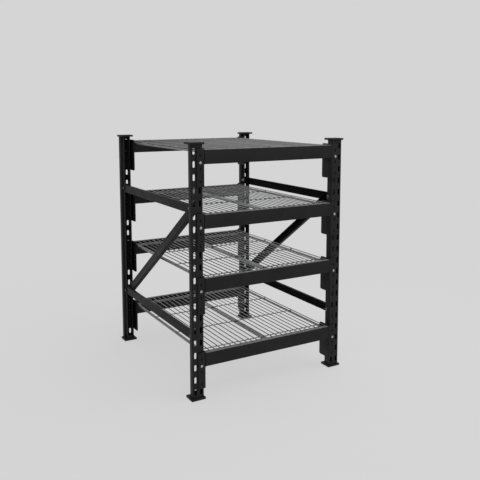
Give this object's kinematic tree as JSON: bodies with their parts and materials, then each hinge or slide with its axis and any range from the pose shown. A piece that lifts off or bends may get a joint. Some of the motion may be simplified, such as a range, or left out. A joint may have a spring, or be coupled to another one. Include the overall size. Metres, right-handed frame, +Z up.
{
  "type": "wire shelving rack",
  "caption": "Boltless storage rack with slotted uprights, stepped beams on hook-in connectors and lift-out wire decks.",
  "frame": {"origin": "on the floor, under the middle of the rack", "axes": "+X to the right along the beams, +Y from the front to the rear, +Z up"},
  "size_m": [0.731, 0.816, 1.016],
  "materials": {
    "black_powder_coat": "satin",
    "black_plate": "satin",
    "zinc_fastener": "satin",
    "galvanised_wire": "satin",
    "galvanised_channel": "satin"
  },
  "bodies": {
    "frame": {"post_front_left": "black_powder_coat", "post_front_right": "black_powder_coat", "post_rear_left": "black_powder_coat", "post_rear_right": "black_powder_coat", "foot_plate_front_left": "black_plate", "foot_plate_front_right": "black_plate", "foot_plate_rear_left": "black_plate", "foot_plate_rear_right": "black_plate", "top_cap_front_left": "black_plate", "top_cap_front_right": "black_plate", "top_cap_rear_left": "black_plate", "top_cap_rear_right": "black_plate", "lock_bolts_front_left": "zinc_fastener", "lock_bolts_front_right": "zinc_fastener", "lock_bolts_rear_left": "zinc_fastener", "lock_bolts_rear_right": "zinc_fastener", "beam_front_1": "black_powder_coat", "beam_rear_1": "black_powder_coat", "beam_front_2": "black_powder_coat", "beam_rear_2": "black_powder_coat", "beam_front_3": "black_powder_coat", "beam_rear_3": "black_powder_coat", "beam_front_4": "black_powder_coat", "beam_rear_4": "black_powder_coat", "connector_front_left_1": "black_powder_coat", "connector_front_right_1": "black_powder_coat", "connector_rear_left_1": "black_powder_coat", "connector_rear_right_1": "black_powder_coat", "connector_front_left_2": "black_powder_coat", "connector_front_right_2": "black_powder_coat", "connector_rear_left_2": "black_powder_coat", "connector_rear_right_2": "black_powder_coat", "connector_front_left_3": "black_powder_coat", "connector_front_right_3": "black_powder_coat", "connector_rear_left_3": "black_powder_coat", "connector_rear_right_3": "black_powder_coat", "connector_front_left_4": "black_powder_coat", "connector_front_right_4": "black_powder_coat", "connector_rear_left_4": "black_powder_coat", "connector_rear_right_4": "black_powder_coat", "brace_left_lower": "black_powder_coat", "brace_left_upper": "black_powder_coat", "brace_left_diagonal": "black_powder_coat", "brace_right_lower": "black_powder_coat", "brace_right_upper": "black_powder_coat", "brace_right_diagonal": "black_powder_coat", "brace_bolts_left": "zinc_fastener", "brace_bolts_right": "zinc_fastener", "brace_nuts_left": "zinc_fastener", "brace_nuts_right": "zinc_fastener"},
    "deck_1": {"deck_mesh_1": "galvanised_wire", "deck_channels_1": "galvanised_channel"},
    "deck_2": {"deck_mesh_2": "galvanised_wire", "deck_channels_2": "galvanised_channel"},
    "deck_3": {"deck_mesh_3": "galvanised_wire", "deck_channels_3": "galvanised_channel"},
    "deck_4": {"deck_mesh_4": "galvanised_wire", "deck_channels_4": "galvanised_channel"}
  },
  "joints": [
    {"name": "deck_1_lift", "type": "slide", "parent": "frame", "child": "deck_1", "axis": [0, 0, 1], "range_m": [0, 0.24]},
    {"name": "deck_2_lift", "type": "slide", "parent": "frame", "child": "deck_2", "axis": [0, 0, 1], "range_m": [0, 0.19]},
    {"name": "deck_3_lift", "type": "slide", "parent": "frame", "child": "deck_3", "axis": [0, 0, 1], "range_m": [0, 0.19]},
    {"name": "deck_4_lift", "type": "slide", "parent": "frame", "child": "deck_4", "axis": [0, 0, 1], "range_m": [0, 0.19]}
  ]
}
